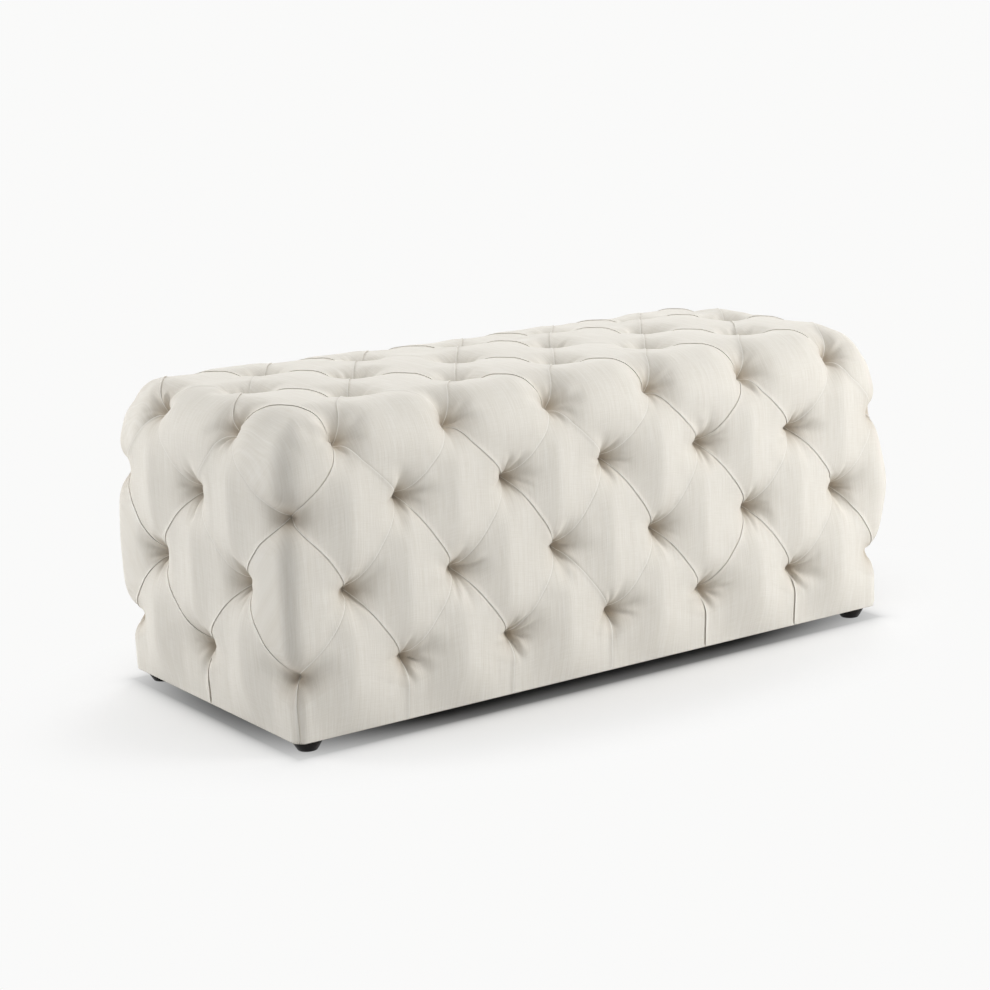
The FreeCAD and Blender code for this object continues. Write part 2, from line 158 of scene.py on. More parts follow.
# Hem: how far in and how high the skin runs as it rolls under and closes round the padding
HEM_LIP = 3.0
HEM_UNDER = 19.0
ROLL_UNDER = [(0.4, 19.4), (1.4, 19.05), (HEM_LIP, HEM_UNDER), (HEM_LIP, UNDERSIDE)]
INSIDE = [(14.0, UNDERSIDE), (14.0, 44.0), (40.0, 60.0), (40.0, 380.0), (64.0, 400.0)]
HEM_FOLD = 44.0             # how far the fabric is turned under
HEM_THICKNESS = 0.9
HEM_PUCKER = 0.3            # how far the turned fabric stands off between its staples
HEM_STAPLE_PITCH = 62.0
HEM_ROWS = 12
HEM_CELL = 6.0
CORNER_STEPS = 16
BOLT_ROOM = 6.0             # round slit in the turned fabric

# Dust cover
DUST_INSET = 27.0
DUST_UNDER = 18.4
DUST_THICKNESS = 0.6
DUST_CELLS = (200, 88)
DUST_SAG = 2.5
DUST_BAYS = 3               # between the boards that it is stapled to
DUST_HELD = 62.0            # flat this far in from its edge
DUST_RIPPLE = 0.25
RIPPLE_REACH = (9.0, 31.0, 23.0)
NOTCH = 58.0                # the corners are folded back from the feet

# Feet
FOOT_INSET = 32.0
FOOT_SIDES = 48
FOOT_PROFILE = [(0.0, 0.0), (12.2, 0.0), (13.8, 0.5), (14.8, 1.8), (17.4, 6.0), (19.8, 10.2),
                (21.4, 13.6), (22.0, 16.4), (21.7, 18.2), (20.6, HEM_UNDER), (0.0, HEM_UNDER)]

# Studio, in metres
BACKDROP = (0.955, 0.955, 0.95)
FLOOR_SIZE = 12.0
FLOOR_WHITE = 0.86
FLOOR_PAINTED_SHADOW = 0.2           # painted contact shadow: the floor's colour under the hem
PAINTED_SHADOW_REACH = 0.013       # and how fast the painted shadow fades outside
SHADOW_KEPT = 0.42          # from the middle, up to where the floor shows in full
SHADOW_GONE = 0.85          # and from where it has melted into the backdrop
SHADOW_STRETCH = 1.6        # it melts sooner before and behind the bench than beside it
WORLD_LIGHT = 0.13
LIGHT_AIM = (0, 0, 0.25)
LIGHTS = {                  # place, size, power
    "right": ((2.15, -2.15, 1.4), 1.3, 66),
    "back_left": ((-2.2, 2.2, 1.15), 1.3, 58),
    "high_left": ((-1.0, -1.0, 3.1), 1.5, 35),
    "high_back": ((1.8, 1.8, 2.2), 1.5, 42),
    "front": ((-1.9, -2.6, 1.6), 1.5, 7),
}

# The camera that was fitted to the photograph
PHOTO_WIDTH = 990.0         # pixels
FOCAL_LENGTH = 2449.1       # pixels
SENSOR_WIDTH = 36.0
CAMERA_PLACE = (-2.0397, -2.9914, 1.0555)
CAMERA_HEADING = 56.05      # degrees
CAMERA_PITCH = 12.69        # degrees down
CAMERA_ROLL = -0.0403       # radians

half_length = HEM_LENGTH / 2
half_depth = HEM_DEPTH / 2
rng = np.random.default_rng(11)

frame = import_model()


def side(index, count):
    """-1 on the first line of the grid, 1 on the last, 0 between."""
    return -1 if index == 0 else int(index == count)


def has_tuft(place):
    return sum(place) % 2 == 1


def outward(place):
    """The way out of the body at a place of the grid."""
    column, line, row = place
    return np.array([side(column, COLUMNS), side(line, LINES), float(row == TOP_ROW)])


def unit(vectors):
    return vectors / np.maximum(np.linalg.norm(vectors, axis=-1, keepdims=True), 1e-9)


def corner_round(first, second, radius):
    """Distance outside two planes that meet in a rounded edge."""
    first = first + radius
    second = second + radius
    over = np.hypot(np.maximum(first, 0), np.maximum(second, 0))
    return np.minimum(np.maximum(first, second), 0) + over - radius


def body(points, upright_radius=None):
    """Distance of points outside the plain padded body, negative inside."""
    end = np.abs(points[..., 0]) - half_length
    front = np.abs(points[..., 1]) - half_depth
    top = points[..., 2] - TOP
    if upright_radius is None:
        heights = np.array(ROW_HEIGHTS) + UNDERSIDE
        upright_radius = np.interp(points[..., 2], heights, UPRIGHT_RADIUS)
    return corner_round(corner_round(end, front, upright_radius), top, TOP_RADIUS)


def slope(points):
    """The way out of the body at points, turning gently round its edges."""
    step = 0.5
    parts = []
    for axis in np.eye(3) * step:
        parts.append(body(points + axis, TOP_RADIUS) - body(points - axis, TOP_RADIUS))
    return unit(np.stack(parts, axis=-1))


def at_height(points, height, steps=8):
    """Moves points straight out or in until they stand at a height over the plain body."""
    for _ in range(steps):
        points = points + slope(points) * (height - body(points))[..., None]
    return points


def grid_point(place):
    column, line, row = place
    x = -half_length + HEM_LENGTH * column / COLUMNS
    y = -half_depth + HEM_DEPTH * line / LINES
    return np.array([x, y, UNDERSIDE + ROW_HEIGHTS[row]])


def tuft_point(place):
    """The bottom of a tuft, or where a pleat meets the hem."""
    out = outward(place)
    point = grid_point(place)
    row = place[2]
    if row == 0:
        return at_height(point, 0.0)
    if row == TOP_ROW and (out[0] or out[1]):
        if out[0]:
            shift = END_LINE_SHIFT[place[1]]
            return point + np.array([-out[0] * END_EDGE_IN, shift, -END_EDGE_DROP])
        return point + np.array([-out[1] * TUFT_SLIDE, -out[1] * FRONT_EDGE_IN, -EDGE_DROP])
    if out[0] and out[1]:
        return point - out * (CORNER_IN - FAR_SWELL / 2 * (place[:2] == (COLUMNS, 0)))
    if row == TOP_ROW:
        return point - out * TOP_PIT
    return point - out * PIT - np.array([out[1], out[0], 0.0]) * TUFT_SLIDE


def crest_height(place):
    out = np.abs(outward(place))
    walls = out[0] + out[1]
    if place[2] == TOP_ROW:
        return (TOP_CROWN, EDGE_CROWN, CORNER_CROWN)[int(walls)]
    return UPRIGHT_CROWN if walls == 2 else WALL_CROWN


def pillow_outlines():
    """Every pillow as (its own place, the places round it in order)."""
    pillows = []
    rim = []
    rim += [(column, 0) for column in range(COLUMNS)]
    rim += [(COLUMNS, line) for line in range(LINES)]
    rim += [(column, LINES) for column in range(COLUMNS, 0, -1)]
    rim += [(0, line) for line in range(LINES, 0, -1)]
    for index, (column, line) in enumerate(rim):
        after = rim[(index + 1) % len(rim)]
        before = rim[index - 1]
        inner = (min(max(column, 1), COLUMNS - 1), min(max(line, 1), LINES - 1))
        on_corner = side(column, COLUMNS) and side(line, LINES)
        for row in range(1, TOP_ROW + 1):
            if has_tuft((column, line, row)):
                continue
            below = [(column, line, row - 1)]
            if row == 1:
                below = [before + (0,), after + (0,)]
            above = [(column, line, row + 1)]
            if row == TOP_ROW:
                above = [] if on_corner else [inner + (row,)]
            pillows.append(((column, line, row), below + [after + (row,)] + above + [before + (row,)]))
    for line in range(1, LINES):
        for column in range(1, COLUMNS):
            place = (column, line, TOP_ROW)
            if not has_tuft(place):
                around = [(column, line - 1), (column + 1, line), (column, line + 1), (column - 1, line)]
                pillows.append((place, [spot + (TOP_ROW,) for spot in around]))
    return pillows


def rank(place):
    """Which of two pillows laps over the other: the higher one, or on the top the one behind."""
    point = grid_point(place)
    return point[2] * 10 + point[1] + 0.01 * point[0]


def placed_tufts(pillows):
    """Where each tuft is, a little off its place on the grid."""
    tufts = {}
    for place in sorted({place for _, around in pillows for place in around}):
        point = tuft_point(place)
        if place[2] > 0:
            shift = rng.normal(size=3) * TUFT_SHIFT
            normal = slope(point)
            along = shift - normal * shift.dot(normal)
            point = point + np.clip(along, -2 * TUFT_SHIFT, 2 * TUFT_SHIFT)
        tufts[place] = point
    return tufts


def back_share(column):
    """How much of the emptier back edge is felt at a column."""
    return min(1.0, column / BACK_COLUMNS)


def placed_crests(pillows):
    """Where each pillow's crest is on the plain body, and how high it rises there."""
    crests = {}
    levels = {}
    for place, _ in pillows:
        shift = rng.normal(size=3) * CREST_SHIFT
        normal = slope(grid_point(place))
        point = grid_point(place) + shift - normal * shift.dot(normal)
        crests[place] = at_height(point, 0.0)
        levels[place] = crest_height(place) + rng.normal() * CREST_CHANGE
        if place[2] == TOP_ROW and place[1] >= LINES - 1:
            levels[place] -= BACK_DROP * back_share(place[0])
        if place[:2] == (COLUMNS, 0) and place[2] < TOP_ROW:
            levels[place] += FAR_SWELL
    return crests, levels


def seam_owners(pillows):
    """The pillows on each side of every seam."""
    owners = {}
    for place, around in pillows:
        for start, end in zip(around, around[1:] + around[:1]):
            owners.setdefault(frozenset((start, end)), []).append(place)
    return owners


def seam_level(first, second):
    """The height of a seam's middle over the plain body."""
    if min(first[2], second[2]) < TOP_ROW:
        return (SEAM_LEVEL, PLEAT_LEVEL, 0.0)[(first[2] == 0) + (second[2] == 0)]
    if min(first[1], second[1]) < LINES - 1:
        return TOP_SEAM_LEVEL
    return TOP_SEAM_LEVEL - BACK_SEAM_SHARE * BACK_DROP * back_share(max(first[0], second[0]))


def lapping(place, pair, owners, turned, crests):
    """1 where a pillow laps over its neighbour and -1 where it lies below, and the way over."""
    if len(owners[pair]) < 2:
        return 0.0, np.zeros(3)
    other = owners[pair][0] if owners[pair][1] == place else owners[pair][1]
    lap = 1.0 if (rank(place) > rank(other)) != turned[pair] else -1.0
    return lap, (crests[place] - crests[other]) * lap


def patches():
    """The arrays that describe every quarter of every pillow, and the places of the tufts."""
    pillows = pillow_outlines()
    tufts = placed_tufts(pillows)
    crests, levels = placed_crests(pillows)
    owners = seam_owners(pillows)
    turned = {pair: rng.random() < TURNED_SHARE for pair in sorted(owners, key=sorted)}
    quarters = []
    for place, around in pillows:
        for index, corner in enumerate(around):
            steep = np.abs(outward(place))
            record = {
                "place": place,
                "tuft": tufts[corner],
                "crest": crests[place],
                "pit": float(body(tufts[corner])),
                "top": levels[place],
                "is_tuft": float(corner[2] > 0),
                "steep": np.array([steep[0], steep[1], 1.0]),
                "ridged": float(place[2] < TOP_ROW and steep.sum() == 1),
            }
            sides = {"one": around[(index + 1) % len(around)], "two": around[index - 1]}
            for name, other in sides.items():
                pair = frozenset((corner, other))
                first, second = sorted(pair)
                lap, over = lapping(place, pair, owners, turned, crests)
                record["middle_" + name] = at_height((tufts[first] + tufts[second]) / 2, 0.0)
                record["level_" + name] = seam_level(corner, other)
                record["lap_" + name] = lap
                record["over_" + name] = over
                record["far_" + name] = tufts[other]
                record["hem_" + name] = float((corner[2] == 0) != (other[2] == 0))
            quarters.append(record)
    return {key: np.array([quarter[key] for quarter in quarters]) for key in quarters[0]}, tufts


def smooth(values, low, high):
    share = np.clip((values - low) / (high - low), 0, 1)
    return share * share * (3 - 2 * share)


def spread(values):
    """Gives one value or point per quarter the shape of the vertex grids."""
    return values[:, None, None, :] if values.ndim == 2 else values[:, None, None]


def plain_grid(data, one, two):
    """The vertex grids laid straight between a tuft, two seam middles and a crest."""
    return (spread(data["tuft"]) * ((1 - one) * (1 - two))[..., None]
            + spread(data["middle_one"]) * (one * (1 - two))[..., None]
            + spread(data["crest"]) * (one * two)[..., None]
            + spread(data["middle_two"]) * ((1 - one) * two)[..., None])


def seam_heights(data, one, two, inner):
    """From a tuft's pit out to the level of the two seams that leave it."""
    heading_one = unit(data["middle_one"] - data["tuft"])
    heading_two = unit(data["middle_two"] - data["tuft"])
    lean = spread((heading_one * heading_two).sum(-1))
    reach = np.sqrt(one ** 2 + two ** 2 + 2 * one * two * lean)
    corner = (1 - np.minimum(reach, 1)) ** SEAM_FLATNESS * inner
    share_one = (one * (1 - two)) ** 2 + 1e-9
    share_two = (two * (1 - one)) ** 2 + 1e-9
    level_one = spread(data["level_one"])
    level_two = spread(data["level_two"])
    seams = (level_one * share_one + level_two * share_two) / (share_one + share_two)
    return spread(data["pit"]) * corner + (1 - corner) * seams


def ridge_heights(data, flat):
    """The soft upright ridge down the middle of a wall pillow."""
    aside = flat - spread(data["crest"])
    aside = aside - aside * spread(data["steep"])
    ridge = 1 - np.sqrt((aside ** 2).sum(-1) + RIDGE_ROUND ** 2) / RIDGE_REACH
    return RIDGE * np.maximum(ridge, 0) * spread(data["ridged"])


def rise(share):
    """The way up from a seam to the crest."""
    full = 1 - (1 - share) ** 2
    return (1 - SEAM_VALLEY) * full ** 2 + SEAM_VALLEY * full


def build_skin():
    """The vertex grids of all quarters: shape (quarters, rows, rows, 3)."""
    data, tufts = patches()
    steps = (np.arange(CELLS + 1) / CELLS) ** SPREAD
    one = steps[None, :, None]
    two = steps[None, None, :]
    near_one = 1 - one
    near_two = 1 - two
    flat = plain_grid(data, one, two)
    inner = 1 - smooth(np.maximum(one, two), *PULL_END)
    dome = rise(one) * rise(two)
    height = (1 - dome) * seam_heights(data, one, two, inner) + dome * spread(data["top"])
    nose = (near_one * near_two) ** 3 * (1 - near_one ** 6) * (1 - near_two ** 6)
    full = (1 - near_one ** 2) * (1 - near_two ** 2)
    height = height + NOSE * nose * spread(data["is_tuft"]) + ridge_heights(data, flat) * full
    distance = np.linalg.norm(flat - spread(data["tuft"]), axis=-1)
    funnel = FUNNEL * np.exp(-distance / FUNNEL_WIDTH) * inner
    height = height - funnel * spread(data["is_tuft"])
    height = WADDING_GIVE * np.logaddexp((height + WADDING) / WADDING_GIVE, 0) - WADDING
    return data, tufts, at_height(flat, height)


def pleat_strength(data, name):
    """Pleats that run down to the hem stand out more than the others."""
    return 1 + (HEM_PLEAT - 1) * data["hem_" + name]


def lap_shift(data, name, grid, out):
    """How the cloth moves beside one seam of every quarter to form its lap."""
    seam = grid[:, :, :1]
    gap = np.linalg.norm(grid - seam, axis=-1)
    along = spread(unit(data["far_" + name] - data["tuft"]))
    across = unit(np.cross(along, out[:, :, :1]))
    across = across * np.sign((across * spread(data["over_" + name])).sum(-1, keepdims=True))
    lap = spread(data["lap_" + name])
    reach = np.linalg.norm(seam - spread(data["tuft"]), axis=-1)
    strength = np.where(spread(data["is_tuft"]) > 0, smooth(reach, *LAP_START), 1.0)
    strength = strength * np.abs(lap) * smooth(seam[..., 2] - UNDERSIDE, *LAP_LOW)
    strength = strength * spread(pleat_strength(data, name))
    on_top = np.maximum(lap, 0)
    below = np.maximum(-lap, 0)
    near = np.exp(-(gap / LAP_WIDTH) ** 2)
    wide = np.exp(-(gap / LAP_SWELL) ** 2)
    sideways = -LAP * near * on_top + TUCK * near * below
    upward = LAP_RAISE * wide * on_top - TUCK_DEPTH * near * below
    sideways[:, :, 0] = LAP * np.abs(lap[:, :, 0])
    upward[:, :, 0] = -LAP_DEPTH * np.abs(lap[:, :, 0])
    return (across * sideways[..., None] + out * upward[..., None]) * strength[..., None]


def lap_pleats(data, points):
    """Folds the upper pillow over the lower one along each seam."""
    normals = slope(points)
    first = lap_shift(data, "one", points, normals)
    second = lap_shift(data, "two", np.swapaxes(points, 1, 2), np.swapaxes(normals, 1, 2))
    return points + (first + np.swapaxes(second, 1, 2))


def fold_fan(start, stop, most):
    """Headings of folds that fan out between two angles in degrees."""
    count = int(rng.integers(most - 2, most + 1))
    spots = np.linspace(start, stop, count + 2)[1:-1]
    return np.radians(spots + rng.normal(size=count) * (stop - start) / (count + 1) * FOLD_SCATTER)


def one_fold(heading, reach, angle):
    """The relief of one fold: a crease with a lower ridge beside it."""
    bend = rng.normal() * FOLD_BEND
    broad = rng.random() < BROAD_SHARE
    width = rng.uniform(*(BROAD_WIDTH if broad else FINE_WIDTH))
    length = rng.uniform(*(BROAD_LENGTH if broad else FINE_LENGTH))
    depth = rng.uniform(*DEPTH_SHARE) * FOLD_DEPTH
    turn = angle - heading - bend * reach / BEND_REACH
    aside = np.where(np.cos(turn) > 0, reach * np.sin(turn), FOLD_REACH)
    width = width * (0.5 + reach / WIDEN_REACH)
    crease = np.exp(-(aside / width) ** 2)
    ridge = np.exp(-((aside - BESIDE * width) / (BESIDE_WIDTH * width)) ** 2)
    fade = smooth(reach, *FOLD_START) * (1 - smooth(reach, FULL_LENGTH * length, length))
    return depth * fade * (BESIDE_HEIGHT * ridge - crease)


def tuft_folds(place, offset, out):
    """The relief of all folds that run out of a tuft, at offsets from it."""
    upward = np.array([0, 1.0, 0]) if out[2] > 0.9 else unit(np.array([0, 0, 1.0]) - out * out[2])
    along_right = offset @ np.cross(upward, out)
    along_up = offset @ upward
    reach = np.hypot(along_right, along_up)
    angle = np.arctan2(along_up, along_right)
    headings = [heading for fan in FOLD_FANS for heading in fold_fan(*fan)]
    relief = sum(one_fold(heading, reach, angle) for heading in headings)
    on_upright_edge = outward(place)[0] and outward(place)[1]
    return relief * (not on_upright_edge)


def wrinkled(tufts, points):
    """Adds the small folds that run out of each tuft."""
    flat = points.reshape(-1, 3)
    normals = slope(flat)
    lift = np.zeros(len(flat))
    for place, centre in sorted(tufts.items()):
        if place[2] > 0:
            offset = flat - centre
            near = np.linalg.norm(offset, axis=1) < FOLD_REACH
            lift[near] += tuft_folds(place, offset[near], slope(centre))
    return (flat + normals * lift[:, None]).reshape(points.shape)


def skin_mesh(name, points):
    """A mesh of all the vertex grids, not joined yet."""
    count = points.shape[1]
    index = np.arange(len(points) * count * count).reshape(len(points), count, count)
    corners = [index[:, :-1, :-1], index[:, 1:, :-1], index[:, 1:, 1:], index[:, :-1, 1:]]
    mesh = bpy.data.meshes.new(name)
    mesh.from_pydata(points.reshape(-1, 3), [], np.stack(corners, axis=-1).reshape(-1, 4).tolist())
    return mesh


def painted_cloth_shade(data, points):
    """Painted shade: how near each point is to a tuft or seam, which darkens its colour; negative on the
    lip of a pleat, where a highlight is painted.
    """
    gap = np.linalg.norm(points - spread(data["tuft"]), axis=-1)
    shade = np.exp(-gap / PAINTED_SHADE_REACH) * spread(data["is_tuft"])
    # painted shade along the seams
    shade[:, :, 0] = np.maximum(shade[:, :, 0], PAINTED_SEAM_SHADE * pleat_strength(data, "one")[:, None])
    shade[:, 0, :] = np.maximum(shade[:, 0, :], PAINTED_SEAM_SHADE * pleat_strength(data, "two")[:, None])
    # a negative value paints a highlight on the lip of each pleat that laps over
    shade[:, 3:, 1] = np.where(data["lap_one"][:, None] > 0, -PAINTED_LIP_LIGHT, shade[:, 3:, 1])
    shade[:, 1, 3:] = np.where(data["lap_two"][:, None] > 0, -PAINTED_LIP_LIGHT, shade[:, 1, 3:])
    return shade


def weave_place(points, places, shade):
    """Where each point lies on the cloth: across the threads, along them, and its painted shade."""
    x, y, z = np.moveaxis(points, -1, 0)
    on_end = [side(place[0], COLUMNS) != 0 and side(place[1], LINES) == 0 for place in places]
    end = spread(np.array(on_end))
    across = np.where(end, y, x)
    inward = np.where(end, half_length - np.abs(x), half_depth - np.abs(y))
    return np.stack([across, z + inward, shade], axis=-1)


def turn_under(work):
    """Rolls the hem under, and closes the skin over a plain inside."""
    low = (UNDERSIDE + 0.5) * MM
    border = [edge for edge in work.edges if edge.is_boundary]
    edges = [edge for edge in border if max(end.co.z for end in edge.verts) < low]
    for inset, height in ROLL_UNDER + INSIDE:
        made = bmesh.ops.extrude_edge_only(work, edges=edges)["geom"]
        edges = [item for item in made if isinstance(item, bmesh.types.BMEdge)]
        room = (half_length - inset, half_depth - inset)
        for vertex in {vertex for edge in edges for vertex in edge.verts}:
            for axis in (0, 1):
                limit = room[axis] * MM
                vertex.co[axis] = max(-limit, min(limit, vertex.co[axis]))
            vertex.co.z = height * MM
    bmesh.ops.holes_fill(work, edges=edges, sides=0)


def mark_laps(work):
    """Keeps the edge of each lapped pleat crisp."""
    for edge in work.edges:
        if len(edge.link_faces) == 2 and edge.calc_face_angle(0) > CRISP_ANGLE:
            edge.smooth = False


def weld(work, distance):
    bmesh.ops.remove_doubles(work, verts=work.verts, dist=distance * MM)


def welded(mesh):
    """Joins a mesh where its points meet, and drops points that no face uses."""
    work = bmesh.new()
    work.from_mesh(mesh)
    weld(work, FINE_WELD)
    loose = [vertex for vertex in work.verts if not vertex.link_faces]
    bmesh.ops.delete(work, geom=loose, context="VERTS")
    bmesh.ops.recalc_face_normals(work, faces=work.faces)
    work.to_mesh(mesh)
    work.free()


def new_piece(name, mesh):
    """A smooth piece that rides on the bench's one body."""
    piece = bpy.data.objects.new(name, mesh)
    bpy.context.scene.collection.objects.link(piece)
    for polygon in mesh.polygons:
        polygon.use_smooth = True
    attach(piece, "root")
    return piece


def upholstery():
    """The tufted cover: one closed skin with pillows, pits, lapped pleats, folds and a hem."""
    data, tufts, points = build_skin()
    # the weave layer also carries the painted shade of tufts and seams and the painted highlight of
    # pleat lips
    weave = weave_place(points, data["place"], painted_cloth_shade(data, points))
    points = lap_pleats(data, wrinkled(tufts, points))
    mesh = skin_mesh("tufted_upholstery", points * MM)
    layer = mesh.attributes.new("weave", "FLOAT_VECTOR", "POINT")
    layer.data.foreach_set("vector", weave.reshape(-1).astype(np.float32))
    work = bmesh.new()
    work.from_mesh(mesh)
    weld(work, SKIN_WELD)
    turn_under(work)
    weld(work, FINE_WELD)
    bmesh.ops.recalc_face_normals(work, faces=work.faces)
    mark_laps(work)
    work.to_mesh(mesh)
    work.free()
    piece = new_piece("tufted_upholstery", mesh)
    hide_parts("tufted_cover")
    mesh.materials.append(linen("linen", "weave"))


def cloth_sheet(name, points, skipped, thickness):
    """A thin piece of cloth from a grid of points, without the cells that are skipped."""
    across, along = points.shape[:2]
    index = np.arange(across * along).reshape(across, along)
    faces = np.stack([index[:-1, :-1], index[1:, :-1], index[1:, 1:], index[:-1, 1:]], axis=-1)
    mesh = bpy.data.meshes.new(name)
    mesh.from_pydata(points.reshape(-1, 3) * MM, [], faces[~skipped].tolist())
    welded(mesh)
    piece = new_piece(name, mesh)
    solid = piece.modifiers.new("thickness", "SOLIDIFY")
    solid.thickness = thickness * MM
    solid.offset = 0.0
    return piece


def cell_centres(points):
    return (points[:-1, :-1] + points[1:, :-1] + points[1:, 1:] + points[:-1, 1:]) / 4


def outline(inset, radius):
    """A closed rounded outline in from the hem planes, with as many points for every radius."""
    room = np.array([half_length - inset - radius, half_depth - inset - radius])
    arcs = []
    for quarter, corner in enumerate(((1, -1), (1, 1), (-1, 1), (-1, -1))):
        turn = np.radians(90 * (quarter - 1) + np.linspace(0, 90, CORNER_STEPS))
        arcs.append(room * corner + radius * np.stack([np.cos(turn), np.sin(turn)], axis=-1))
    closed = []
    for quarter, arc in enumerate(arcs):
        after = arcs[(quarter + 1) % len(arcs)][0]
        run = HEM_LENGTH if quarter % 2 else HEM_DEPTH
        share = np.linspace(0, 1, int(run / HEM_CELL))[1:-1, None]
        closed += [arc, arc[-1] * (1 - share) + after * share]
    return np.concatenate(closed + [arcs[0][:1]])


def turned_hem():
    """The fabric turned under the base, drawn flat at its staples and puckered between."""
    inner_edge = HEM_LIP + HEM_FOLD
    share = np.linspace(0, 1, HEM_ROWS)[:, None, None]
    outer = outline(HEM_LIP, UPRIGHT_RADIUS[0] - HEM_LIP)
    plan = outer * (1 - share) + outline(inner_edge, 0.0) * share
    on_long_side = np.abs(plan[..., 1]) > half_depth - inner_edge - 0.1
    run = np.where(on_long_side, plan[..., 0], plan[..., 1])
    loose = np.sin(np.pi * np.clip(share[..., 0] * (HEM_FOLD / (DUST_INSET - HEM_LIP)), 0, 1))
    pucker = HEM_PUCKER * loose * (1 - np.cos(2 * np.pi * run / HEM_STAPLE_PITCH)) / 2
    middle = (HEM_UNDER + UNDERSIDE) / 2
    points = np.concatenate([plan, (middle - pucker)[..., None]], axis=-1)
    bolt = np.array([half_length - FOOT_INSET, half_depth - FOOT_INSET])
    from_bolt = np.linalg.norm(np.abs(cell_centres(points)[..., :2]) - bolt, axis=-1)
    piece = cloth_sheet("turned_hem_fabric", points, from_bolt < BOLT_ROOM, HEM_THICKNESS)
    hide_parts("turned_hem")
    piece.data.materials.append(linen("turned_linen"))


def dust_cover():
    """Black cloth stapled under the base, which sags a little between the boards."""
    reach = (half_length - DUST_INSET, half_depth - DUST_INSET)
    lines = [np.linspace(-far, far, cells + 1) for far, cells in zip(reach, DUST_CELLS)]
    x, y = np.meshgrid(*lines, indexing="ij")
    edge = np.minimum(reach[0] - np.abs(x), reach[1] - np.abs(y))
    bays = np.sin(np.pi * DUST_BAYS * (x + reach[0]) / (2 * reach[0])) ** 2
    sag = DUST_SAG * bays * smooth(edge, DUST_HELD, 2.5 * DUST_HELD)
    along, drift, across = RIPPLE_REACH
    ripple = DUST_RIPPLE * np.sin(x / along + np.sin(y / drift)) * np.sin(y / across)
    ripple = np.abs(ripple * smooth(edge, DUST_HELD, 2 * DUST_HELD))
    points = np.stack([x, y, DUST_UNDER + DUST_THICKNESS / 2 - sag - ripple], axis=-1)
    middle = np.abs(cell_centres(points))
    skipped = (middle[..., 0] > half_length - NOTCH) & (middle[..., 1] > half_depth - NOTCH)
    piece = cloth_sheet("dust_cover_cloth", points, skipped, DUST_THICKNESS)
    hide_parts("dust_cover")
    piece.data.materials.append(cambric())


def turned_feet():
    """Squat round feet, turned with a soft shoulder and an eased bottom edge."""
    turn = 2 * np.pi * np.arange(FOOT_SIDES) / FOOT_SIDES
    radius, height = np.array(FOOT_PROFILE)[:, :, None].transpose(1, 0, 2)
    foot = np.stack([radius * np.cos(turn), radius * np.sin(turn), height + 0 * turn], axis=-1)
    index = np.arange(len(FOOT_PROFILE) * FOOT_SIDES).reshape(-1, FOOT_SIDES)
    after = np.roll(index, -1, axis=1)
    faces = np.stack([index[:-1], after[:-1], after[1:], index[1:]], axis=-1).reshape(-1, 4)
    centre = np.array([half_length - FOOT_INSET, half_depth - FOOT_INSET, 0])
    corners = [(along, across, 0) for along in (-1, 1) for across in (-1, 1)]
    verts = np.concatenate([foot.reshape(-1, 3) + centre * corner for corner in corners])
    all_faces = np.concatenate([faces + number * index.size for number in range(len(corners))])
    mesh = bpy.data.meshes.new("turned_feet")
    mesh.from_pydata(verts * MM, [], all_faces.tolist())
    welded(mesh)
    piece = new_piece("turned_feet", mesh)
    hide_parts("feet")
    mesh.materials.append(dark_wood())


def node(tree, kind, inputs=None, **settings):
    """Adds a shader node. A socket among the inputs is linked, anything else is a value."""
    made = tree.nodes.new(kind)
    for key, value in settings.items():
        setattr(made, key, value)
    for key, value in (inputs or {}).items():
        if isinstance(value, bpy.types.NodeSocket):
            tree.links.new(value, made.inputs[key])
        else:
            made.inputs[key].default_value = value
    return made


def vector_math(tree, operation, *values):
    made = node(tree, "ShaderNodeVectorMath", dict(enumerate(values)), operation=operation)
    return made.outputs["Value" if operation == "LENGTH" else "Vector"]


def math(tree, operation, *values, clamp=False):
    made = node(tree, "ShaderNodeMath", dict(enumerate(values)), operation=operation, use_clamp=clamp)
    return made.outputs[0]


def mixed(tree, first, second, share):
    """A blend of two values."""
    return node(tree, "ShaderNodeMix", {"Factor": share, 2: first, 3: second}).outputs[0]


def mixed_colour(tree, first, second, share, blend_type="MIX"):
    inputs = {"Factor": share, 6: first, 7: second}
    return node(tree, "ShaderNodeMix", inputs, data_type="RGBA", blend_type=blend_type).outputs[2]


def new_material(name, roughness, **fixed):
    material = bpy.data.materials.new(name)
    material.use_nodes = True
    tree = material.node_tree
    shader = tree.nodes["Principled BSDF"]
    shader.inputs["Roughness"].default_value = roughness
    for key, value in fixed.items():
        shader.inputs[key.replace("_", " ")].default_value = value
    return material, tree, shader


def streaks(tree, coords, periods, detail=2.0):
    """Noise stretched to the given periods, in the units of the coordinates."""
    scaled = vector_math(tree, "MULTIPLY", coords, [1 / period for period in periods])
    noise = node(tree, "ShaderNodeTexNoise", {"Vector": scaled, "Scale": 1.0, "Detail": detail})
    return noise.outputs["Fac"]


def tinted(tree, shader, factor, low, high, ends=(0.3, 0.7)):
    """Colours the shader between two colours by a factor."""
    ramp = node(tree, "ShaderNodeValToRGB", {"Fac": factor})
    for stop, place, colour in zip(ramp.color_ramp.elements, ends, (low, high)):
        stop.position = place
        stop.color = (*colour, 1)
    tree.links.new(ramp.outputs["Color"], shader.inputs["Base Color"])
    return ramp.outputs["Color"]


def bumped(tree, shader, height, depth, strength):
    bump = node(tree, "ShaderNodeBump", {"Height": height, "Strength": strength, "Distance": depth})
    tree.links.new(bump.outputs["Normal"], shader.inputs["Normal"])


def object_place(tree):
    return node(tree, "ShaderNodeTexCoord").outputs["Object"]


def cloth_coords(tree, layer=None):
    """Place on the cloth in millimetres, from the piece's own layer or from its position."""
    if layer:
        return node(tree, "ShaderNodeAttribute", attribute_name=layer).outputs["Vector"]
    return vector_math(tree, "MULTIPLY", object_place(tree), (1 / MM, 1 / MM, 1 / MM))


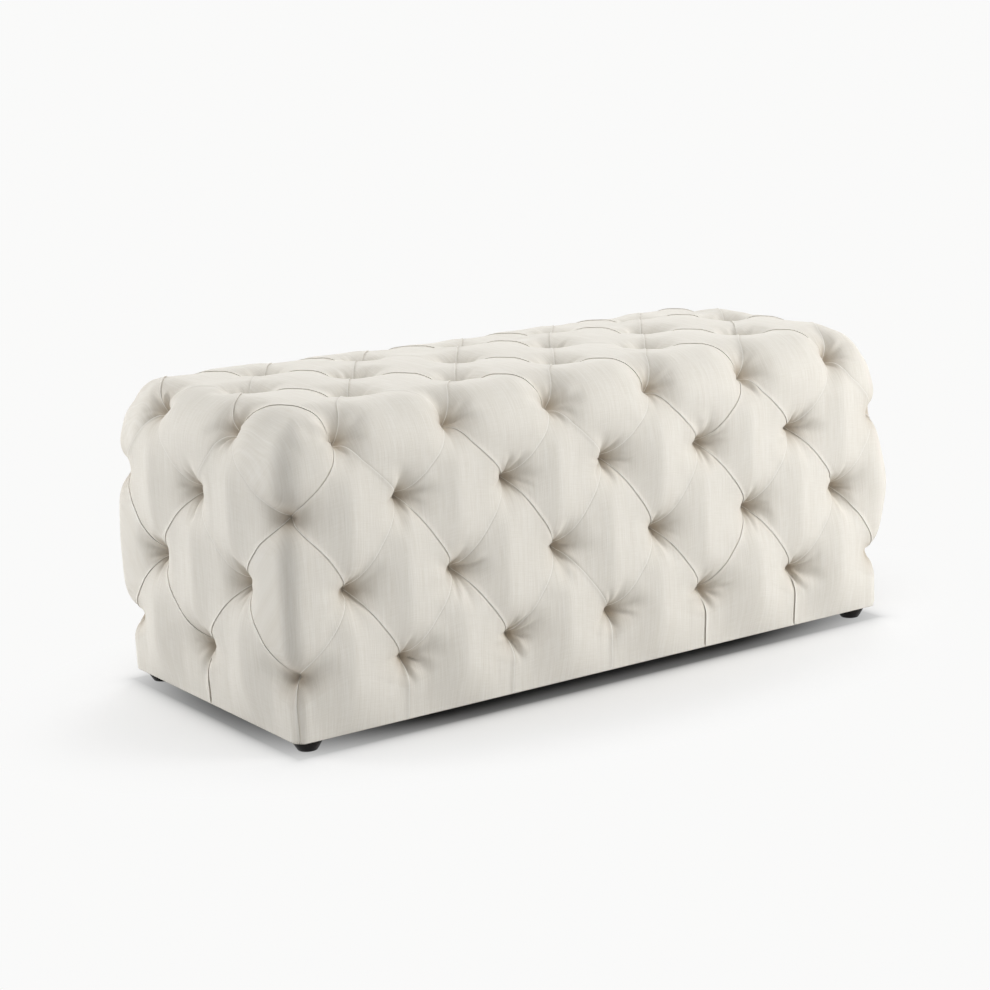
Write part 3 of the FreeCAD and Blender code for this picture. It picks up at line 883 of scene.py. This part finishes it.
def linen(name, layer=None):
    """Off-white linen: slubs along the threads, a fine cross weave and a soft nap; with a layer, also
    painted shade in tufts and seams and a painted highlight on pleat lips.
    """
    material, tree, shader = new_material(name, 0.92, Sheen_Weight=0.12, Sheen_Roughness=0.5)
    coords = cloth_coords(tree, layer)
    slubs = streaks(tree, coords, (1.5, 46.0, 46.0), 3.0)
    bands = streaks(tree, coords, (5.0, 130.0, 130.0))
    weft = streaks(tree, coords, (26.0, 1.3, 26.0), 1.0)
    threads = mixed(tree, mixed(tree, slubs, bands, 0.35), weft, 0.25)
    colour = tinted(tree, shader, threads, (0.66, 0.622, 0.548), (0.775, 0.75, 0.695), (0.26, 0.70))
    # the layer's third part is painted shade that darkens and warms the colour; its negative part paints
    # a highlight on pleat lips
    if layer:
        shade = node(tree, "ShaderNodeSeparateXYZ", {0: coords}).outputs["Z"]
        shaded_colour = mixed_colour(tree, colour, PAINTED_PIT_SHADE, shade, "MULTIPLY")
        lip = math(tree, "MULTIPLY", shade, -1.0, clamp=True)
        tree.links.new(mixed_colour(tree, shaded_colour, PAINTED_LIP_HIGHLIGHT, lip), shader.inputs["Base Color"])
    bumped(tree, shader, threads, 0.0005, 0.7)
    return material


def dark_wood():
    """Espresso stain under a satin lacquer."""
    lacquer = {"Specular_IOR_Level": 0.2, "Coat_Weight": 0.08, "Coat_Roughness": 0.1}
    material, tree, shader = new_material("dark_wood", 0.2, **lacquer)
    grain = streaks(tree, cloth_coords(tree), (1.1, 1.1, 14.0), 4.0)
    tinted(tree, shader, grain, (0.003, 0.002, 0.002), (0.012, 0.007, 0.005))
    bumped(tree, shader, grain, 0.0002, 0.4)
    return material


def bare_wood(name, low, high, periods):
    """Unfinished wood, and also twine: fibres that run one way."""
    material, tree, shader = new_material(name, 0.7)
    grain = streaks(tree, cloth_coords(tree), periods, 5.0)
    tinted(tree, shader, grain, low, high)
    bumped(tree, shader, grain, 0.0003, 0.5)
    return material


def foam():
    material, tree, shader = new_material("foam", 0.95)
    cells = streaks(tree, cloth_coords(tree), (1.2, 1.2, 1.2), 3.0)
    tinted(tree, shader, cells, (0.66, 0.58, 0.38), (0.84, 0.78, 0.58))
    bumped(tree, shader, cells, 0.0006, 0.8)
    return material


def metal(name, colour, roughness):
    material, tree, shader = new_material(name, roughness, Metallic=1.0)
    wear = streaks(tree, cloth_coords(tree), (2.0, 2.0, 2.0), 3.0)
    tinted(tree, shader, wear, [0.75 * part for part in colour], colour)
    return material


def cambric():
    """Thin black non-woven cloth."""
    material, tree, shader = new_material("cambric", 0.9)
    coords = cloth_coords(tree)
    lengthwise = streaks(tree, coords, (0.8, 9.0, 9.0), 3.0)
    crosswise = streaks(tree, coords, (9.0, 0.8, 9.0), 3.0)
    fibres = mixed(tree, lengthwise, crosswise, 0.5)
    tinted(tree, shader, fibres, (0.008, 0.008, 0.009), (0.032, 0.032, 0.034))
    bumped(tree, shader, fibres, 0.0003, 0.6)
    return material


def finish_frame_nodes():
    """Gives every CAD node the material of its slot."""
    finishes = {
        "linen": linen("hem_linen"),
        "foam": foam(),
        "plywood": bare_wood("plywood", (0.42, 0.29, 0.16), (0.66, 0.50, 0.32), (60.0, 60.0, 2.5)),
        "pine": bare_wood("pine", (0.50, 0.34, 0.18), (0.72, 0.54, 0.33), (90.0, 4.0, 4.0)),
        "dark_wood": dark_wood(),
        "zinc": metal("zinc", (0.62, 0.63, 0.64), 0.35),
        "cambric": cambric(),
        "staple_steel": metal("staple_steel", (0.55, 0.55, 0.56), 0.3),
        "twine": bare_wood("twine", (0.60, 0.54, 0.44), (0.80, 0.76, 0.66), (1.0, 1.0, 4.0)),
    }
    for part in frame["record"]["subparts"]:
        mesh = frame["nodes"][part["node"]].data
        mesh.materials.clear()
        mesh.materials.append(finishes[part["material_slot"]])


def seen_share(tree):
    """1 for what the camera sees straight or in a mirror, 0 for light that falls on things."""
    path = node(tree, "ShaderNodeLightPath")
    mirrored = math(tree, "ADD", path.outputs["Is Glossy Ray"], path.outputs["Is Transmission Ray"])
    return math(tree, "ADD", path.outputs["Is Camera Ray"], mirrored, clamp=True)


def floor_colour(tree, place):
    """Pale, with a painted contact shadow that darkens the colour under the bench and just outside it.
    """
    past = vector_math(tree, "SUBTRACT", vector_math(tree, "ABSOLUTE", place),
                       (half_length * MM, half_depth * MM, 0))
    outside = vector_math(tree, "LENGTH", vector_math(tree, "MAXIMUM", past, (0, 0, 0)))
    contact = math(tree, "EXPONENT", math(tree, "MULTIPLY", outside, -1 / PAINTED_SHADOW_REACH))
    return mixed(tree, FLOOR_WHITE, FLOOR_PAINTED_SHADOW, contact)


def melting(tree, place):
    """0 where the floor shows in full, 1 where it has melted into the backdrop."""
    stretched = vector_math(tree, "MULTIPLY", place, (1.0, SHADOW_STRETCH, 1.0))
    inputs = {
        "Value": vector_math(tree, "LENGTH", stretched),
        "From Min": SHADOW_KEPT,
        "From Max": SHADOW_GONE,
    }
    return node(tree, "ShaderNodeMapRange", inputs, interpolation_type="SMOOTHSTEP").outputs[0]


def floor():
    """A pale floor that keeps the shadow near the bench, has a painted contact shadow under the hem, and
    melts into the backdrop.
    """
    square = ((-1, -1), (1, -1), (1, 1), (-1, 1))
    corners = [(FLOOR_SIZE * along, FLOOR_SIZE * across, 0) for along, across in square]
    mesh = bpy.data.meshes.new("floor")
    mesh.from_pydata(corners, [], [(0, 1, 2, 3)])
    piece = bpy.data.objects.new("floor", mesh)
    bpy.context.scene.collection.objects.link(piece)
    material, tree, shader = new_material("floor", 0.9)
    place = object_place(tree)
    # the floor's colour carries the painted contact shadow
    tree.links.new(floor_colour(tree, place), shader.inputs["Base Color"])
    share = math(tree, "MULTIPLY", melting(tree, place), seen_share(tree))
    glow = node(tree, "ShaderNodeEmission", {"Color": (*BACKDROP, 1), "Strength": 1.0}).outputs[0]
    blend = node(tree, "ShaderNodeMixShader", {0: share, 1: shader.outputs[0], 2: glow}).outputs[0]
    tree.links.new(blend, tree.nodes["Material Output"].inputs["Surface"])
    mesh.materials.append(material)


def world():
    """Soft light from all round, and a pale backdrop where the camera looks past the floor."""
    scene_world = bpy.data.worlds.new("studio")
    bpy.context.scene.world = scene_world
    scene_world.use_nodes = True
    tree = scene_world.node_tree
    soft = tree.nodes["Background"]
    soft.inputs["Color"].default_value = (1, 1, 1, 1)
    soft.inputs["Strength"].default_value = WORLD_LIGHT
    backdrop = node(tree, "ShaderNodeBackground", {"Color": (*BACKDROP, 1), "Strength": 1.0})
    shaders = {0: seen_share(tree), 1: soft.outputs[0], 2: backdrop.outputs[0]}
    blend = node(tree, "ShaderNodeMixShader", shaders)
    tree.links.new(blend.outputs[0], tree.nodes["World Output"].inputs["Surface"])


def camera():
    """The camera at the photograph's place, with its small roll."""
    data = bpy.data.cameras.new("camera")
    data.sensor_width = SENSOR_WIDTH
    data.lens = SENSOR_WIDTH * FOCAL_LENGTH / PHOTO_WIDTH
    data.clip_end = 100.0
    piece = bpy.data.objects.new("camera", data)
    bpy.context.scene.collection.objects.link(piece)
    heading = np.radians(CAMERA_HEADING)
    pitch = np.radians(CAMERA_PITCH)
    flat = np.array([np.cos(heading), np.sin(heading), 0])
    ahead = flat * np.cos(pitch) - np.array([0, 0, np.sin(pitch)])
    right = np.array([np.sin(heading), -np.cos(heading), 0])
    up = np.cross(right, ahead)
    turned_right = right * np.cos(CAMERA_ROLL) + up * np.sin(CAMERA_ROLL)
    turned_up = -right * np.sin(CAMERA_ROLL) + up * np.cos(CAMERA_ROLL)
    turn = Matrix((turned_right, turned_up, -ahead)).transposed().to_4x4()
    turn.translation = Vector(CAMERA_PLACE)
    piece.matrix_world = turn
    bpy.context.scene.camera = piece


def area_light(name, place, size, power):
    data = bpy.data.lights.new(name, "AREA")
    data.energy = power
    data.size = size
    piece = bpy.data.objects.new(name, data)
    bpy.context.scene.collection.objects.link(piece)
    piece.location = place
    piece.rotation_mode = "QUATERNION"
    piece.rotation_quaternion = (Vector(place) - Vector(LIGHT_AIM)).to_track_quat("Z", "Y")


camera()
world()
floor()
for light, (light_place, light_size, light_power) in LIGHTS.items():
    area_light(light, light_place, light_size, light_power)
bpy.context.scene.view_settings.view_transform = "Standard"

upholstery()
turned_hem()
dust_cover()
turned_feet()
finish_frame_nodes()
